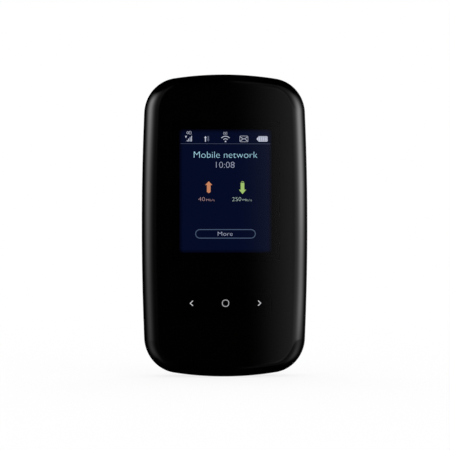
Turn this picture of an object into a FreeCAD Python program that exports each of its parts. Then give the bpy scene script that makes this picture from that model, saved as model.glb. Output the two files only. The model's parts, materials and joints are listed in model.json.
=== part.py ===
import FreeCAD, Part

import math
import os

# A pocket-size mobile hotspot with a removable battery, standing upright.
# Every length is in millimetres.  X runs to the right seen from the front,
# Y runs from the front face to the back, and Z runs up from the bottom edge.
# The origin is below the middle of the body, half way through its thickness.

Vector = FreeCAD.Vector

# ---- Driving dimensions ----------------------------------------------------

WIDTH = 66.0
HEIGHT = 120.0
THICKNESS = 15.5

# The outline is eight tangent arcs: two long sides, two ends, four corners.
SIDE_RADIUS = 1042.0
END_RADIUS = 129.7
CORNER_RADIUS = 14.0

# Front lens: a clear tray whose edges roll back to the side band.
LENS_WALL = 1.2
LENS_SIDE_ROLL = 5.8
LENS_END_ROLL = 4.0
INK = 0.1
TAPE = 0.2

# Removable rear cover: a plain tray with one roll all round.
COVER_WALL = 1.2
COVER_ROLL = 5.0

# Display: a 2.4 inch portrait panel, window a little inside its glass.
WINDOW_WIDTH = 36.7
WINDOW_HEIGHT = 49.0
WINDOW_CORNER = 1.2
WINDOW_Z = 73.6
PANEL_WIDTH = 42.7
PANEL_BOTTOM_Z = 41.85
PANEL_TOP_Z = 100.85
PANEL_CORNER = 0.8

# Touch keys under the display.
KEY_ROW_Z = 29.2
KEY_PITCH = 13.5
GLYPH_STROKE = 0.32
CHEVRON_HALF_WIDTH = 0.5
CHEVRON_HALF_HEIGHT = 0.92
HOME_HALF_SIZE = 1.42
HOME_CORNER = 1.22

# Removable battery.
BATTERY_WIDTH = 52.6
BATTERY_BOTTOM_Z = 20.0
BATTERY_TOP_Z = 94.8

# Travel of the pieces that move.
POWER_TRAVEL = 0.35
RESET_TRAVEL = 0.3

# ---- Levels through the thickness ------------------------------------------

MIDDLE_Z = HEIGHT / 2
FRONT_Y = -THICKNESS / 2
REAR_Y = THICKNESS / 2

LENS_INNER_Y = FRONT_Y + LENS_WALL
INK_REAR_Y = LENS_INNER_Y + INK
FRAME_FRONT_Y = INK_REAR_Y + TAPE
GLASS_FRONT_Y = -6.15
GLASS_REAR_Y = -5.2
BACKLIGHT_REAR_Y = -3.88
FRAME_FLOOR_FRONT_Y = -3.8
FRAME_FLOOR_REAR_Y = -3.0
LENS_RIM_Y = -1.8
BAND_FRONT_Y = -1.7
BOARD_FRONT_Y = -1.1
BOARD_REAR_Y = -0.1
BAY_FLOOR_FRONT_Y = 0.15
BAY_FLOOR_REAR_Y = 0.8
BAND_REAR_Y = 2.3
COVER_RIM_Y = 2.4
DECK_UNDER_Y = 5.3
DECK_REAR_Y = 6.3
COVER_INNER_Y = REAR_Y - COVER_WALL
BATTERY_FRONT_Y = 0.95
BATTERY_REAR_Y = 6.25

# ---- Insets from the outline -----------------------------------------------

INK_INSET = LENS_WALL + INK
FRAME_CORE_INSET = 1.45
BAY_INSET = 1.7
BAND_INNER_INSET = 3.0
BAY_SPIGOT_INSET = 3.1
BOARD_INSET = 3.2
DECK_CAVITY_INSET = 4.3
BOARD_LEDGE_INSET = 4.4

# ---- Places shared by several parts ----------------------------------------

POCKET_HALF_WIDTH = 26.8
POCKET_BOTTOM_Z = 19.2
POCKET_TOP_Z = 95.2
POCKET_WALL = 1.2

SCREW_X = 24.5
SCREW_OFFSET_Z = 49.0
SCREW_SHANK_R = 0.8
SCREW_HEAD_R = 1.5

POWER_X = 14.0
POWER_Y = 0.3
POWER_LENGTH = 9.0
POWER_WIDTH = 2.2
POWER_FLANGE_TOP_Z = 115.5
POWER_ROOM_HALF_WIDTH = 5.6

RESET_X = 15.0
RESET_Z = 103.0
RESET_PIN_R = 0.95

USB_Y = 0.35
USB_WIDTH = 7.5
USB_DEPTH = 2.5
USB_MOUTH_Z = 0.5
USB_REAR_Z = 5.5

SIM_X = 4.0
SIM_WIDTH = 12.0
SIM_LENGTH = 15.0
SIM_BOTTOM_Z = 96.4
SIM_FRONT_Y = 1.0
SIM_REAR_Y = 1.76
SIM_LID_HALF_WIDTH = 6.8

CONTACT_X = (-21.0, -17.0, -13.0, -9.0)

# Cover hooks: middle of each hook along the outline, as (x, z).
HOOK_LENGTH = 6.0
SIDE_HOOK_Z = (30.0, MIDDLE_Z, 90.5)
TOP_HOOK_X = (-15.0, 2.0)
BOTTOM_HOOK_X = (-16.0, 16.0)

PARTS_FOLDER = "parts"


# ---- Plain shapes ----------------------------------------------------------

def block(x0, x1, y0, y1, z0, z1):
    """A box between two opposite corners."""
    return Part.makeBox(x1 - x0, y1 - y0, z1 - z0, Vector(x0, y0, z0))


def rounded_block(x0, x1, y0, y1, z0, z1, radius):
    """A box whose four edges along Y are rounded."""
    solid = block(x0, x1, y0, y1, z0, z1)
    along_y = [edge for edge in solid.Edges if edge.BoundBox.YLength > (y1 - y0) / 2]
    return solid.makeFillet(radius, along_y)


def centred_block(x, z, width, height, y0, y1):
    """A box centred on (x, z) that runs from y0 to y1."""
    return block(x - width / 2, x + width / 2, y0, y1, z - height / 2, z + height / 2)


def pin_y(x, z, radius, y0, y1):
    """A cylinder along Y."""
    return Part.makeCylinder(radius, y1 - y0, Vector(x, y0, z), Vector(0, 1, 0))


def stroke(points, width, y0, y1):
    """A line of constant width through (x, z) points, with round ends and joins."""
    solid = pin_y(points[0][0], points[0][1], width / 2, y0, y1)
    for (x0, z0), (x1, z1) in zip(points, points[1:]):
        length = math.hypot(x1 - x0, z1 - z0)
        angle = math.degrees(math.atan2(z1 - z0, x1 - x0))
        bar = Part.makeBox(length, y1 - y0, width, Vector(0, y0, -width / 2))
        bar.rotate(Vector(0, 0, 0), Vector(0, 1, 0), -angle)
        bar.translate(Vector(x0, 0, z0))
        solid = solid.fuse([bar, pin_y(x1, z1, width / 2, y0, y1)])
    return solid.removeSplitter()


def fuse_all(shapes):
    """One solid from many that touch or overlap."""
    return shapes[0].fuse(shapes[1:]).removeSplitter()


def cut_all(solid, tools):
    """A solid with several others taken away."""
    return solid.cut(tools).removeSplitter()


# ---- The outline and the slabs made from it --------------------------------

def corner_centre():
    """Centre of the upper right corner arc, tangent to the side and end arcs."""
    side_x = WIDTH / 2 - SIDE_RADIUS
    end_z = HEIGHT / 2 - END_RADIUS
    to_side = SIDE_RADIUS - CORNER_RADIUS
    to_end = END_RADIUS - CORNER_RADIUS
    span = math.hypot(side_x, end_z)
    along = (to_side ** 2 - to_end ** 2 + span ** 2) / (2 * span)
    across = math.sqrt(to_side ** 2 - along ** 2)
    ux, uz = -side_x / span, end_z / span
    return side_x + along * ux - across * uz, along * uz + across * ux


def arc_joints(inset):
    """The side/corner joint, the corner's middle and the corner/end joint, at an inset."""
    cx, cz = corner_centre()
    side_x = WIDTH / 2 - SIDE_RADIUS
    end_z = HEIGHT / 2 - END_RADIUS
    side_angle = math.atan2(cz, cx - side_x)
    end_angle = math.atan2(cz - end_z, cx)
    middle_angle = (side_angle + end_angle) / 2
    radius = CORNER_RADIUS - inset
    return [(cx + radius * math.cos(angle), cz + radius * math.sin(angle))
            for angle in (side_angle, middle_angle, end_angle)]


def outline(inset, y):
    """The body's outline, pulled in by inset, as a wire at one y."""
    side, middle, end = arc_joints(inset)
    half_width = WIDTH / 2 - inset
    half_height = HEIGHT / 2 - inset

    def at(point, sx, sz):
        return Vector(sx * point[0], y, MIDDLE_Z + sz * point[1])

    arcs = [Part.Arc(at(side, 1, -1), at((half_width, 0), 1, 1), at(side, 1, 1)),
            Part.Arc(at(side, 1, 1), at(middle, 1, 1), at(end, 1, 1)),
            Part.Arc(at(end, 1, 1), at((0, half_height), 1, 1), at(end, -1, 1)),
            Part.Arc(at(end, -1, 1), at(middle, -1, 1), at(side, -1, 1)),
            Part.Arc(at(side, -1, 1), at((half_width, 0), -1, 1), at(side, -1, -1)),
            Part.Arc(at(side, -1, -1), at(middle, -1, -1), at(end, -1, -1)),
            Part.Arc(at(end, -1, -1), at((0, half_height), 1, -1), at(end, 1, -1)),
            Part.Arc(at(end, 1, -1), at(middle, 1, -1), at(side, 1, -1))]
    return Part.Wire([arc.toShape() for arc in arcs])


def slab(inset, y0, y1):
    """The outline's area, pulled in by inset, from y0 to y1."""
    return Part.Face(outline(inset, y0)).extrude(Vector(0, y1 - y0, 0))


def ring(outer_inset, inner_inset, y0, y1):
    """A band that follows the outline between two insets."""
    return slab(outer_inset, y0, y1).cut(slab(inner_inset, y0 - 1, y1 + 1))


def edges_at(solid, y):
    """Numbers and edges of a solid that lie in one plane of constant y."""
    found = []
    for number, edge in enumerate(solid.Edges, 1):
        box = edge.BoundBox
        if abs(box.YMin - y) < 1e-6 and abs(box.YMax - y) < 1e-6:
            found.append((number, edge))
    return found


def rolled_slab(inset, y0, y1, rolled_y, side_roll, end_roll):
    """A slab with one edge rolled: one radius along the sides, another along the ends."""
    document = FreeCAD.newDocument("roll")
    base = document.addObject("Part::Feature", "base")
    base.Shape = slab(inset, y0, y1)
    radii = []
    for number, edge in edges_at(base.Shape, rolled_y):
        first = edge.valueAt(edge.FirstParameter)
        last = edge.valueAt(edge.LastParameter)
        if edge.Curve.Radius > SIDE_RADIUS / 2:
            start, finish = side_roll, side_roll
        elif edge.Curve.Radius > END_RADIUS / 2:
            start, finish = end_roll, end_roll
        elif abs(first.x) > abs(last.x):
            start, finish = side_roll, end_roll
        else:
            start, finish = end_roll, side_roll
        radii.append((number, start, finish))
    roll = document.addObject("Part::Fillet", "roll")
    roll.Base = base
    roll.Edges = radii
    document.recompute()
    shape = roll.Shape.copy()
    FreeCAD.closeDocument(document.Name)
    return shape


def soften(solid, y, size):
    """Break the sharp outline edge of a slab at one y."""
    return solid.makeChamfer(size, [edge for number, edge in edges_at(solid, y)])


# ---- Front: lens, ink, tape ------------------------------------------------

def lens_tray(depth):
    """The inside of the lens, pulled in by depth from its outer surface."""
    return rolled_slab(depth, FRONT_Y + depth, 0.0, FRONT_Y + depth,
                       LENS_SIDE_ROLL - depth, LENS_END_ROLL - depth)


def front_lens():
    outer = rolled_slab(0, FRONT_Y, LENS_RIM_Y, FRONT_Y, LENS_SIDE_ROLL, LENS_END_ROLL)
    return outer.cut(lens_tray(LENS_WALL))


def chevron(x, pointing):
    """A chevron glyph: pointing is +1 for right and -1 for left."""
    half_width = CHEVRON_HALF_WIDTH * pointing
    points = [(x - half_width, KEY_ROW_Z + CHEVRON_HALF_HEIGHT),
              (x + half_width, KEY_ROW_Z),
              (x - half_width, KEY_ROW_Z - CHEVRON_HALF_HEIGHT)]
    return stroke(points, GLYPH_STROKE, LENS_INNER_Y - 1, INK_REAR_Y + 1)


def home_glyph():
    """A rounded square outline, the middle key's glyph."""
    outer = HOME_HALF_SIZE
    inner = outer - GLYPH_STROKE
    y0, y1 = LENS_INNER_Y - 1, INK_REAR_Y + 1
    frame = rounded_block(-outer, outer, y0, y1, KEY_ROW_Z - outer, KEY_ROW_Z + outer,
                          HOME_CORNER)
    hole = rounded_block(-inner, inner, y0 - 1, y1 + 1, KEY_ROW_Z - inner, KEY_ROW_Z + inner,
                         HOME_CORNER - GLYPH_STROKE)
    return frame.cut(hole)


def window(grow, y0, y1):
    """The display window's area, grown on every side."""
    half_width = WINDOW_WIDTH / 2 + grow
    half_height = WINDOW_HEIGHT / 2 + grow
    return rounded_block(-half_width, half_width, y0, y1, WINDOW_Z - half_height,
                         WINDOW_Z + half_height, WINDOW_CORNER + grow)


def ink_mask():
    """Black print on the lens's inner surface, open at the window and the glyphs."""
    film = lens_tray(LENS_WALL).cut(lens_tray(LENS_WALL + INK))
    film = film.common(slab(0, FRONT_Y, LENS_RIM_Y))
    openings = [window(0, LENS_INNER_Y - 1, INK_REAR_Y + 1), home_glyph(),
                chevron(-KEY_PITCH, -1), chevron(KEY_PITCH, 1)]
    return film.cut(openings)


TAPE_OUTER_INSET = 6.1
TAPE_INNER_INSET = 8.8


def lens_tape():
    """Adhesive frame that bonds the lens to the mid frame."""
    return ring(TAPE_OUTER_INSET, TAPE_INNER_INSET, INK_REAR_Y, FRAME_FRONT_Y)


# ---- Display ---------------------------------------------------------------

def panel(y0, y1, shrink):
    """The display's footprint from y0 to y1, smaller by shrink on every side."""
    half_width = PANEL_WIDTH / 2 - shrink
    return rounded_block(-half_width, half_width, y0, y1, PANEL_BOTTOM_Z + shrink,
                         PANEL_TOP_Z - shrink, PANEL_CORNER)


FOAM_OUTER = 1.9
FOAM_INNER = 0.6


def display_foam():
    """Soft gasket between the ink and the display glass, around the window."""
    y0, y1 = INK_REAR_Y, GLASS_FRONT_Y
    return window(FOAM_OUTER, y0, y1).cut(window(FOAM_INNER, y0 - 1, y1 + 1))


def display_glass():
    return panel(GLASS_FRONT_Y, GLASS_REAR_Y, 0.0)


def display_backlight():
    """Light guide in its moulded frame, with a stepped edge."""
    step, step_y = 0.5, BACKLIGHT_REAR_Y - 0.4
    guide = panel(GLASS_REAR_Y + 0.02, step_y, step)
    frame = panel(step_y, BACKLIGHT_REAR_Y, 0.0)
    return fuse_all([guide, frame])


FLEX = 0.12


def folded_flex(x0, x1, outer_y, inner_y, top_z, bend_z, foot_z):
    """Flexible circuit: down at outer_y, back along bend_z, and down again at inner_y."""
    top_leg = block(x0, x1, outer_y, outer_y + FLEX, bend_z, top_z)
    through_leg = block(x0, x1, outer_y, inner_y, bend_z, bend_z + FLEX)
    board_leg = block(x0, x1, inner_y - FLEX, inner_y, foot_z, bend_z + FLEX)
    return fuse_all([top_leg, through_leg, board_leg])


DISPLAY_FLEX_HALF_WIDTH = 7.5
DISPLAY_FLEX_BEND_Z = 40.6
DISPLAY_SOCKET_HALF_WIDTH = 8.0
DISPLAY_SOCKET_FRONT_Y = -2.0
DISPLAY_SOCKET_BOTTOM_Z = 33.5
DISPLAY_SOCKET_TOP_Z = 37.0


def display_flex():
    """Flexible circuit from the display's foot to the main board."""
    return folded_flex(-DISPLAY_FLEX_HALF_WIDTH, DISPLAY_FLEX_HALF_WIDTH, GLASS_REAR_Y - 0.3,
                       DISPLAY_SOCKET_FRONT_Y, PANEL_BOTTOM_Z - 0.02, DISPLAY_FLEX_BEND_Z,
                       DISPLAY_SOCKET_BOTTOM_Z)


def display_connector():
    return block(-DISPLAY_SOCKET_HALF_WIDTH, DISPLAY_SOCKET_HALF_WIDTH, DISPLAY_SOCKET_FRONT_Y,
                 BOARD_FRONT_Y, DISPLAY_SOCKET_BOTTOM_Z, DISPLAY_SOCKET_TOP_Z)


# ---- Touch keys ------------------------------------------------------------

KEY_DIFFUSER_REAR_Y = -5.3
KEY_BOARD_FRONT_Y = -4.75
KEY_BOARD_REAR_Y = -4.4
KEY_PLATE_HALF_WIDTH = 17.0
KEY_PLATE_HALF_HEIGHT = 4.0
KEY_PLATE_CORNER = 1.0
KEY_LAMP_OFFSET = 1.1
KEY_LAMP_WIDTH = 1.6
KEY_LAMP_HEIGHT = 0.8
KEY_FLEX_X = 12.0
KEY_FLEX_HALF_WIDTH = 2.5
KEY_FLEX_FRONT_Y = -4.6
KEY_FLEX_BEND_Z = 23.9
KEY_FLEX_FOOT_Z = 19.5
KEY_SOCKET_FRONT_Y = -1.9
KEY_SOCKET_Z = 21.0
KEY_SOCKET_WIDTH = 6.0
KEY_SOCKET_HEIGHT = 2.6


def key_plate(y0, y1):
    """The touch keys' footprint from y0 to y1."""
    return rounded_block(-KEY_PLATE_HALF_WIDTH, KEY_PLATE_HALF_WIDTH, y0, y1,
                         KEY_ROW_Z - KEY_PLATE_HALF_HEIGHT, KEY_ROW_Z + KEY_PLATE_HALF_HEIGHT,
                         KEY_PLATE_CORNER)


def key_diffuser():
    """Light guide behind the glyphs."""
    return key_plate(INK_REAR_Y + 0.05, KEY_DIFFUSER_REAR_Y)


def touch_key_board():
    return key_plate(KEY_BOARD_FRONT_Y, KEY_BOARD_REAR_Y)


def key_leds():
    """One side-by-side pair of lamps behind each glyph."""
    lamps = []
    for x in (-KEY_PITCH, 0.0, KEY_PITCH):
        for side in (-1, 1):
            lamps.append(centred_block(x + side * KEY_LAMP_OFFSET, KEY_ROW_Z, KEY_LAMP_WIDTH,
                                       KEY_LAMP_HEIGHT, KEY_DIFFUSER_REAR_Y + 0.05,
                                       KEY_BOARD_FRONT_Y))
    return Part.makeCompound(lamps)


def key_flex():
    """Flexible circuit from the touch key board's foot to the main board."""
    return folded_flex(KEY_FLEX_X - KEY_FLEX_HALF_WIDTH, KEY_FLEX_X + KEY_FLEX_HALF_WIDTH,
                       KEY_FLEX_FRONT_Y, KEY_SOCKET_FRONT_Y,
                       KEY_ROW_Z - KEY_PLATE_HALF_HEIGHT - 0.02, KEY_FLEX_BEND_Z, KEY_FLEX_FOOT_Z)


def key_connector():
    return centred_block(KEY_FLEX_X, KEY_SOCKET_Z, KEY_SOCKET_WIDTH, KEY_SOCKET_HEIGHT,
                         KEY_SOCKET_FRONT_Y, BOARD_FRONT_Y)


# ---- Mid frame -------------------------------------------------------------

EDGE_BREAK = 0.15
HOOK_FLOOR_Y = 1.2
HOOK_ROOM = 0.2
BOSS_RADIUS = 2.2
SCREW_BORE_FLOOR_Y = -5.4


def screw_places():
    """Screw axes as (x, z)."""
    return [(sx * SCREW_X, MIDDLE_Z + sz * SCREW_OFFSET_Z) for sx in (-1, 1) for sz in (-1, 1)]


def hook_windows(extra, y0, y1):
    """Boxes that pick the hooks out of a ring, longer by extra at each end."""
    half = HOOK_LENGTH / 2 + extra
    reach = 4.0
    windows = []
    for z in SIDE_HOOK_Z:
        windows.append(block(WIDTH / 2 - reach, WIDTH / 2, y0, y1, z - half, z + half))
        windows.append(block(-WIDTH / 2, -WIDTH / 2 + reach, y0, y1, z - half, z + half))
    for x in TOP_HOOK_X:
        windows.append(block(x - half, x + half, y0, y1, HEIGHT - reach, HEIGHT))
    for x in BOTTOM_HOOK_X:
        windows.append(block(x - half, x + half, y0, y1, 0, reach))
    return Part.makeCompound(windows)


def stadium_z(x, y, length, width, z0, z1):
    """A bar along Z whose section is a slot shape, long in X."""
    radius = width / 2
    straight = length / 2 - radius
    middle = block(x - straight, x + straight, y - radius, y + radius, z0, z1)
    ends = [Part.makeCylinder(radius, z1 - z0, Vector(x + side * straight, y, z0))
            for side in (-1, 1)]
    return fuse_all([middle] + ends)


def usb_opening():
    """Rounded opening in the band around the data port."""
    half_width, half_depth, corner = USB_WIDTH / 2 + 0.45, USB_DEPTH / 2 + 0.35, 0.7
    solid = block(-half_width, half_width, USB_Y - half_depth, USB_Y + half_depth, -1, 4.5)
    along_z = [edge for edge in solid.Edges if edge.BoundBox.ZLength > 1]
    return solid.makeFillet(corner, along_z)


def lightening_pockets():
    """Pockets in the frame's rear that keep its walls an even thickness."""
    y0, y1 = -5.3, FRAME_FLOOR_REAR_Y
    side_x0, side_x1 = 23.2, 28.0
    end_x0, end_x1 = 0.7, 19.0
    low_z, high_z, count, rib = 23.0, 99.0, 5, 1.4
    pitch = (high_z - low_z + rib) / count
    pockets = []
    for index in range(count):
        z0 = low_z + index * pitch
        z1 = z0 + pitch - rib
        pockets.append(block(side_x0, side_x1, y0, y1, z0, z1))
        pockets.append(block(-side_x1, -side_x0, y0, y1, z0, z1))
    for z0, z1 in ((7.5, 21.6), (103.2, 113.0)):
        pockets.append(block(end_x0, end_x1, y0, y1, z0, z1))
        pockets.append(block(-end_x1, -end_x0, y0, y1, z0, z1))
    return pockets


def frame_rooms():
    """Room in the chassis for the display, the touch keys, the board and the bay housing."""
    over = FRAME_FRONT_Y - 1
    gap = 0.4
    half_width = PANEL_WIDTH / 2 + gap
    display_tray = rounded_block(-half_width, half_width, over, FRAME_FLOOR_FRONT_Y,
                                 PANEL_BOTTOM_Z - gap, PANEL_TOP_Z + gap, PANEL_CORNER + gap)
    slot_half_width = DISPLAY_FLEX_HALF_WIDTH + 1.5
    display_slot = block(-slot_half_width, slot_half_width, over, FRAME_FLOOR_REAR_Y,
                         DISPLAY_FLEX_BEND_Z - 0.7, PANEL_BOTTOM_Z)
    key_half_width = KEY_PLATE_HALF_WIDTH + 0.6
    key_half_height = KEY_PLATE_HALF_HEIGHT + 0.6
    key_tray = rounded_block(-key_half_width, key_half_width, over, KEY_BOARD_REAR_Y + 0.1,
                             KEY_ROW_Z - key_half_height, KEY_ROW_Z + key_half_height,
                             KEY_PLATE_CORNER + gap)
    key_slot = centred_block(KEY_FLEX_X, KEY_FLEX_BEND_Z, 2 * KEY_FLEX_HALF_WIDTH + 1.4, 2.4,
                             over, FRAME_FLOOR_REAR_Y)
    board_room = slab(BOARD_LEDGE_INSET, FRAME_FLOOR_REAR_Y, BOARD_FRONT_Y + 0.01)
    housing_room = slab(BAND_INNER_INSET, BOARD_FRONT_Y, BAND_REAR_Y + 1)
    return [display_tray, display_slot, key_tray, key_slot, board_room, housing_room]


def mid_frame():
    """Moulded chassis: the flat side band, the display tray and the board ledge."""
    band = slab(0, BAND_FRONT_Y, BAND_REAR_Y)
    band = soften(soften(band, BAND_FRONT_Y, EDGE_BREAK), BAND_REAR_Y, EDGE_BREAK)
    core = rolled_slab(FRAME_CORE_INSET, FRAME_FRONT_Y, BAND_FRONT_Y + 0.5, FRAME_FRONT_Y,
                       LENS_SIDE_ROLL - FRAME_CORE_INSET, LENS_END_ROLL - FRAME_CORE_INSET)
    solid = cut_all(fuse_all([band, core]), frame_rooms() + lightening_pockets())

    bosses = [pin_y(x, z, BOSS_RADIUS, FRAME_FLOOR_REAR_Y, BOARD_FRONT_Y)
              for x, z in screw_places()]
    solid = fuse_all([solid] + bosses)
    bores = [pin_y(x, z, SCREW_SHANK_R + 0.02, SCREW_BORE_FLOOR_Y, BOARD_FRONT_Y + 1)
             for x, z in screw_places()]
    hook_ring = ring(0.8, 1.95, HOOK_FLOOR_Y, BAND_REAR_Y + 1)
    hooks = hook_ring.common(hook_windows(HOOK_ROOM, HOOK_FLOOR_Y, BAND_REAR_Y + 1))
    key_gap = 0.3
    key_opening = stadium_z(POWER_X, POWER_Y, POWER_LENGTH + key_gap, POWER_WIDTH + key_gap,
                            MIDDLE_Z, HEIGHT)
    return cut_all(solid, bores + [hooks, key_opening, usb_opening()])


# ---- Main board and what it carries ----------------------------------------

def main_board():
    """Circuit board that fills the body, notched for the port and the power key."""
    board = slab(BOARD_INSET, BOARD_FRONT_Y, BOARD_REAR_Y)
    y0, y1 = BOARD_FRONT_Y - 1, BOARD_REAR_Y + 1
    port_notch_half_width = USB_WIDTH / 2 + 0.65
    port_notch = block(-port_notch_half_width, port_notch_half_width, y0, y1, 0, USB_REAR_Z + 0.5)
    key_notch = block(POWER_X - POWER_ROOM_HALF_WIDTH, POWER_X + POWER_ROOM_HALF_WIDTH, y0, y1,
                      POWER_FLANGE_TOP_Z - 1.2, HEIGHT)
    holes = [pin_y(x, z, SCREW_SHANK_R + 0.3, y0, y1) for x, z in screw_places()]
    return board.cut([port_notch, key_notch] + holes)


CAN_SHEET = 0.15
CAN_FRONT_Y = -2.6
CAN_CORNER = 0.6
CAN_HOLE_R = 0.5
CAN_HOLE_PITCH = 5.0
CHIP_HEIGHT = 0.9


def shield_can(x0, x1, z0, z1):
    """Pressed metal lid, open towards the board, with cooling holes."""
    outer = rounded_block(x0, x1, CAN_FRONT_Y, BOARD_FRONT_Y, z0, z1, CAN_CORNER)
    inner = rounded_block(x0 + CAN_SHEET, x1 - CAN_SHEET, CAN_FRONT_Y + CAN_SHEET,
                          BOARD_FRONT_Y + 1, z0 + CAN_SHEET, z1 - CAN_SHEET,
                          CAN_CORNER - CAN_SHEET)
    holes = []
    for row in (1, 2):
        count = int((x1 - x0) / CAN_HOLE_PITCH) - 1
        for index in range(count):
            x = (x0 + x1) / 2 + (index - (count - 1) / 2) * CAN_HOLE_PITCH
            holes.append(pin_y(x, z0 + row * (z1 - z0) / 3, CAN_HOLE_R, CAN_FRONT_Y - 1,
                               CAN_FRONT_Y + 1))
    return outer.cut([inner] + holes)


def shield_can_processor():
    return shield_can(-26.0, -2.0, 61.0, 88.0)


def shield_can_radio():
    return shield_can(2.0, 26.0, 61.0, 96.0)


def shield_can_power():
    return shield_can(-26.0, -4.0, 41.0, 57.0)


def chip(x, z, width, height):
    """A flat chip package on the front of the board."""
    return centred_block(x, z, width, height, BOARD_FRONT_Y - CHIP_HEIGHT, BOARD_FRONT_Y)


def modem_chip():
    return chip(-14.0, 79.0, 13.0, 13.0)


def memory_chip():
    return chip(-14.0, 66.0, 11.0, 7.0)


def wifi_chip():
    return chip(14.0, 70.0, 7.0, 7.0)


def power_chip():
    return chip(-15.0, 49.0, 6.0, 6.0)


def radio_amplifiers():
    """Three small transmit and receive amplifier packages."""
    first_x, pitch, z = 8.0, 6.0, 86.0
    return Part.makeCompound([chip(first_x + pitch * index, z, 4.0, 3.0) for index in range(3)])


def thermal_pad():
    """Soft pad between the processor's can and the chassis floor."""
    return block(-22.0, -6.0, FRAME_FLOOR_REAR_Y + 0.02, CAN_FRONT_Y, 70.0, 86.0)


def board_passives():
    """Rows of small capacitors, resistors and coils on the front of the board."""
    width, length, pitch = 0.8, 1.6, 2.5
    rows = ((-22.0, 28.5, 6), (14.0, 41.0, 5), (6.0, 46.0, 8), (14.0, 51.0, 5),
            (-20.0, 93.0, 7), (-22.0, 100.0, 8), (4.0, 101.0, 7))
    parts = []
    for first_x, z, count in rows:
        for index in range(count):
            height = 0.5 + 0.2 * (index % 3)
            parts.append(centred_block(first_x + index * pitch, z, width, length,
                                       BOARD_FRONT_Y - height, BOARD_FRONT_Y))
    return Part.makeCompound(parts)


def heat_spreader():
    """Copper foil between the board and the battery bay's floor."""
    return block(-22.0, 22.0, BOARD_REAR_Y + 0.02, BAY_FLOOR_FRONT_Y - 0.02, 26.0, 90.0)


# ---- Data port -------------------------------------------------------------

def usb_section(inset, z0, z1):
    """The port's section: a rectangle with two bevelled corners towards the front."""
    half_width = USB_WIDTH / 2 - inset
    half_depth = USB_DEPTH / 2 - inset
    bevel = 1.05
    points = [(-half_width, half_depth), (half_width, half_depth),
              (half_width, -half_depth + bevel), (half_width - bevel, -half_depth),
              (-half_width + bevel, -half_depth), (-half_width, -half_depth + bevel)]
    corners = [Vector(x, USB_Y + y, z0) for x, y in points]
    face = Part.Face(Part.makePolygon(corners + corners[:1]))
    return face.extrude(Vector(0, 0, z1 - z0))


USB_SHEET = 0.3
USB_BASE_Z = 4.5
USB_TONGUE_HALF_WIDTH = 1.85
USB_TONGUE_FRONT_Y = USB_Y + 0.1
USB_TONGUE_REAR_Y = USB_Y + 0.7


def usb_shell():
    """Pressed shell with two ears soldered to the board."""
    tube = usb_section(0, USB_MOUTH_Z, USB_REAR_Z)
    room = usb_section(USB_SHEET, USB_MOUTH_Z - 1, USB_REAR_Z + 1)
    ear_x, ear_z, ear_size = 4.4, 4.2, 1.6
    ears = [centred_block(side * ear_x, ear_z, ear_size, ear_size, BOARD_REAR_Y,
                          BOARD_REAR_Y + 0.2) for side in (-1, 1)]
    return fuse_all([tube] + ears).cut(room)


def usb_tongue():
    """Insulating base and the tongue that carries the contacts."""
    base = usb_section(USB_SHEET + 0.02, USB_BASE_Z, USB_REAR_Z - 0.1)
    tongue = block(-USB_TONGUE_HALF_WIDTH, USB_TONGUE_HALF_WIDTH, USB_TONGUE_FRONT_Y,
                   USB_TONGUE_REAR_Y, USB_MOUTH_Z + 0.7, USB_BASE_Z)
    return fuse_all([base, tongue])


def usb_contacts():
    """Five contact strips under the tongue."""
    pitch, half_width, thickness = 0.65, 0.17, 0.12
    strips = []
    for index in range(5):
        x = (index - 2) * pitch
        strips.append(block(x - half_width, x + half_width, USB_TONGUE_FRONT_Y - thickness,
                            USB_TONGUE_FRONT_Y, USB_MOUTH_Z + 0.9, USB_BASE_Z - 0.02))
    return Part.makeCompound(strips)


# ---- Switches, SIM socket, battery connector, antennas ---------------------

SWITCH_BODY_TOP_Z = 113.4
SWITCH_TOP_Z = 114.1
SWITCH_BODY_REAR_Y = 1.5
ACTUATOR_FRONT_Y = 0.2
ACTUATOR_REAR_Y = 1.1
RESET_SWITCH_TOP_Y = 1.9


def power_switch():
    """Side-push switch; its actuator stops just short of the pressed key."""
    body = block(POWER_X - 2.5, POWER_X + 2.5, BOARD_REAR_Y, SWITCH_BODY_REAR_Y,
                 SWITCH_BODY_TOP_Z - 2.0, SWITCH_BODY_TOP_Z)
    actuator = block(POWER_X - 1.1, POWER_X + 1.1, ACTUATOR_FRONT_Y, ACTUATOR_REAR_Y,
                     SWITCH_BODY_TOP_Z, SWITCH_TOP_Z)
    return fuse_all([body, actuator])


def reset_switch():
    body = centred_block(RESET_X, RESET_Z, 3.6, 3.6, BOARD_REAR_Y, SWITCH_BODY_REAR_Y)
    actuator = pin_y(RESET_X, RESET_Z, 0.8, SWITCH_BODY_REAR_Y, RESET_SWITCH_TOP_Y)
    return fuse_all([body, actuator])


SIM_SOCKET_BOTTOM_Z = 97.2
SIM_SOCKET_TOP_Z = 112.4
SIM_WELL_FLOOR_Y = 0.3
SIM_LID_FRONT_Y = 1.9
SIM_LID_REAR_Y = 2.1
SIM_LID_SHEET = 0.18


def sim_contact_places():
    """Middles of the six SIM contacts, as (x, z)."""
    half_pitch, rows = 3.8, (103.0, 105.6, 108.2)
    return [(SIM_X + side * half_pitch, z) for side in (-1, 1) for z in rows]


def sim_base():
    """Moulded floor of the SIM socket, with a well for each contact."""
    half_width = SIM_LID_HALF_WIDTH - 0.2
    base = block(SIM_X - half_width, SIM_X + half_width, BOARD_REAR_Y, SIM_FRONT_Y - 0.1,
                 SIM_SOCKET_BOTTOM_Z, SIM_SOCKET_TOP_Z - 0.2)
    wells = [centred_block(x, z, 3.2, 1.4, SIM_WELL_FLOOR_Y, SIM_LID_FRONT_Y)
             for x, z in sim_contact_places()]
    return base.cut(wells)


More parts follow.
